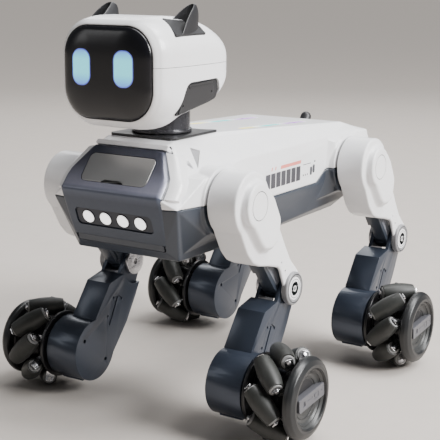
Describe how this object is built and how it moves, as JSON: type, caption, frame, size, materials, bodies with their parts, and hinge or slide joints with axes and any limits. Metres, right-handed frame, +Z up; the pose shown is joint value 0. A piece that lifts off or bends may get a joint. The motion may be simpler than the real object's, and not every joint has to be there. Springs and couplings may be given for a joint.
{
  "type": "quadruped robot dog",
  "caption": "Four-legged robot dog with a boxy lit-eye head, white and slate shells, jointed legs and mecanum wheels for feet",
  "frame": {"origin": "on the ground plane under the centre of the whole robot's footprint box, wheels touching z = 0", "axes": "+X to the robot's left, -Y forward, +Z up"},
  "size_m": [0.257, 0.314, 0.2946],
  "materials": {
    "white_shell": "semi-gloss moulded white ABS",
    "slate_shell": "satin slate-blue moulded plastic",
    "charcoal_plastic": "fine-textured charcoal plastic",
    "grey_flap": "satin mid-grey plastic",
    "visor_black": "high-gloss black window",
    "lamp_cyan": "lit cyan diffuser",
    "lamp_white": "lit white diffuser on a dark carrier",
    "screw_steel": "zinc-plated steel",
    "motor_can": "plated steel motor can",
    "hub_black": "black glass-filled plastic",
    "cap_grey": "dark grey satin plastic",
    "roller_rubber": "black-green matt rubber",
    "circuit_board": "green solder mask",
    "battery_wrap": "blue shrink wrap",
    "switch_red": "red gloss plastic"
  },
  "bodies": {
    "trunk": {"body_upper_shell": "white_shell", "body_lower_shell": "slate_shell", "chest_panel": "slate_shell", "chest_lamps": "lamp_white", "neck_plate": "charcoal_plastic", "top_light_bars": "lamp_cyan", "tail": "charcoal_plastic", "control_board": "circuit_board", "battery_pack": "battery_wrap", "battery_door": "slate_shell", "charge_jack": "charcoal_plastic", "speaker": "charcoal_plastic", "neck_servo": "charcoal_plastic", "hip_servos": "charcoal_plastic", "body_screws": "screw_steel"},
    "chest_flap": {"chest_flap": "grey_flap"},
    "power_switch": {"power_switch": "switch_red"},
    "head": {"neck_column": "charcoal_plastic", "head_lower_shell": "white_shell", "head_upper_shell": "white_shell", "visor": "visor_black", "eye_lamps": "lamp_cyan", "ears": "charcoal_plastic", "cheek_panels": "charcoal_plastic"},
    "fl_thigh": {"fl_thigh_housing": "white_shell", "fl_thigh_cover": "white_shell", "fl_thigh_frame": "slate_shell", "fl_knee_bolt": "screw_steel"},
    "fl_shank": {"fl_shank": "slate_shell", "fl_wheel_motor": "motor_can"},
    "fl_wheel": {"fl_wheel_hub": "hub_black", "fl_hub_cap": "cap_grey", "fl_rollers": "roller_rubber"},
    "fr_thigh": {"fr_thigh_housing": "white_shell", "fr_thigh_cover": "white_shell", "fr_thigh_frame": "slate_shell", "fr_knee_bolt": "screw_steel"},
    "fr_shank": {"fr_shank": "slate_shell", "fr_wheel_motor": "motor_can"},
    "fr_wheel": {"fr_wheel_hub": "hub_black", "fr_hub_cap": "cap_grey", "fr_rollers": "roller_rubber"},
    "rl_thigh": {"rl_thigh_housing": "white_shell", "rl_thigh_cover": "white_shell", "rl_thigh_frame": "slate_shell", "rl_knee_bolt": "screw_steel"},
    "rl_shank": {"rl_shank": "slate_shell", "rl_wheel_motor": "motor_can"},
    "rl_wheel": {"rl_wheel_hub": "hub_black", "rl_hub_cap": "cap_grey", "rl_rollers": "roller_rubber"},
    "rr_thigh": {"rr_thigh_housing": "white_shell", "rr_thigh_cover": "white_shell", "rr_thigh_frame": "slate_shell", "rr_knee_bolt": "screw_steel"},
    "rr_shank": {"rr_shank": "slate_shell", "rr_wheel_motor": "motor_can"},
    "rr_wheel": {"rr_wheel_hub": "hub_black", "rr_hub_cap": "cap_grey", "rr_rollers": "roller_rubber"}
  },
  "joints": [
    {"name": "neck_yaw", "type": "hinge", "parent": "trunk", "child": "head", "pos_m": [0, -0.08943, 0.206], "axis": [0, 0, 1], "range_deg": [-60, 60]},
    {"name": "chest_flap_hinge", "type": "hinge", "parent": "trunk", "child": "chest_flap", "pos_m": [0, -0.13366, 0.19255], "axis": [-1, 0, 0], "range_deg": [0, 80]},
    {"name": "power_switch_slide", "type": "slide", "parent": "trunk", "child": "power_switch", "axis": [0, 1, 0], "range_m": [0, 0.004]},
    {"name": "fl_hip", "type": "hinge", "parent": "trunk", "child": "fl_thigh", "pos_m": [0.07, -0.10043, 0.16275], "axis": [1, 0, 0], "range_deg": [-25, 25]},
    {"name": "fl_knee", "type": "hinge", "parent": "fl_thigh", "child": "fl_shank", "pos_m": [0.07, -0.04417, 0.0924], "axis": [1, 0, 0], "range_deg": [-35, 30]},
    {"name": "fl_wheel_spin", "type": "hinge", "parent": "fl_shank", "child": "fl_wheel", "pos_m": [0.1052, -0.09717, 0.034], "axis": [1, 0, 0], "continuous": true},
    {"name": "fr_hip", "type": "hinge", "parent": "trunk", "child": "fr_thigh", "pos_m": [-0.07, -0.10043, 0.16275], "axis": [1, 0, 0], "range_deg": [-25, 25]},
    {"name": "fr_knee", "type": "hinge", "parent": "fr_thigh", "child": "fr_shank", "pos_m": [-0.07, -0.04417, 0.0924], "axis": [1, 0, 0], "range_deg": [-35, 30]},
    {"name": "fr_wheel_spin", "type": "hinge", "parent": "fr_shank", "child": "fr_wheel", "pos_m": [-0.1052, -0.09717, 0.034], "axis": [1, 0, 0], "continuous": true},
    {"name": "rl_hip", "type": "hinge", "parent": "trunk", "child": "rl_thigh", "pos_m": [0.07, 0.08958, 0.16275], "axis": [1, 0, 0], "range_deg": [-25, 25]},
    {"name": "rl_knee", "type": "hinge", "parent": "rl_thigh", "child": "rl_shank", "pos_m": [0.07, 0.14583, 0.0924], "axis": [1, 0, 0], "range_deg": [-35, 30]},
    {"name": "rl_wheel_spin", "type": "hinge", "parent": "rl_shank", "child": "rl_wheel", "pos_m": [0.1052, 0.09283, 0.034], "axis": [1, 0, 0], "continuous": true},
    {"name": "rr_hip", "type": "hinge", "parent": "trunk", "child": "rr_thigh", "pos_m": [-0.07, 0.08958, 0.16275], "axis": [1, 0, 0], "range_deg": [-25, 25]},
    {"name": "rr_knee", "type": "hinge", "parent": "rr_thigh", "child": "rr_shank", "pos_m": [-0.07, 0.14583, 0.0924], "axis": [1, 0, 0], "range_deg": [-35, 30]},
    {"name": "rr_wheel_spin", "type": "hinge", "parent": "rr_shank", "child": "rr_wheel", "pos_m": [-0.1052, 0.09283, 0.034], "axis": [1, 0, 0], "continuous": true}
  ]
}
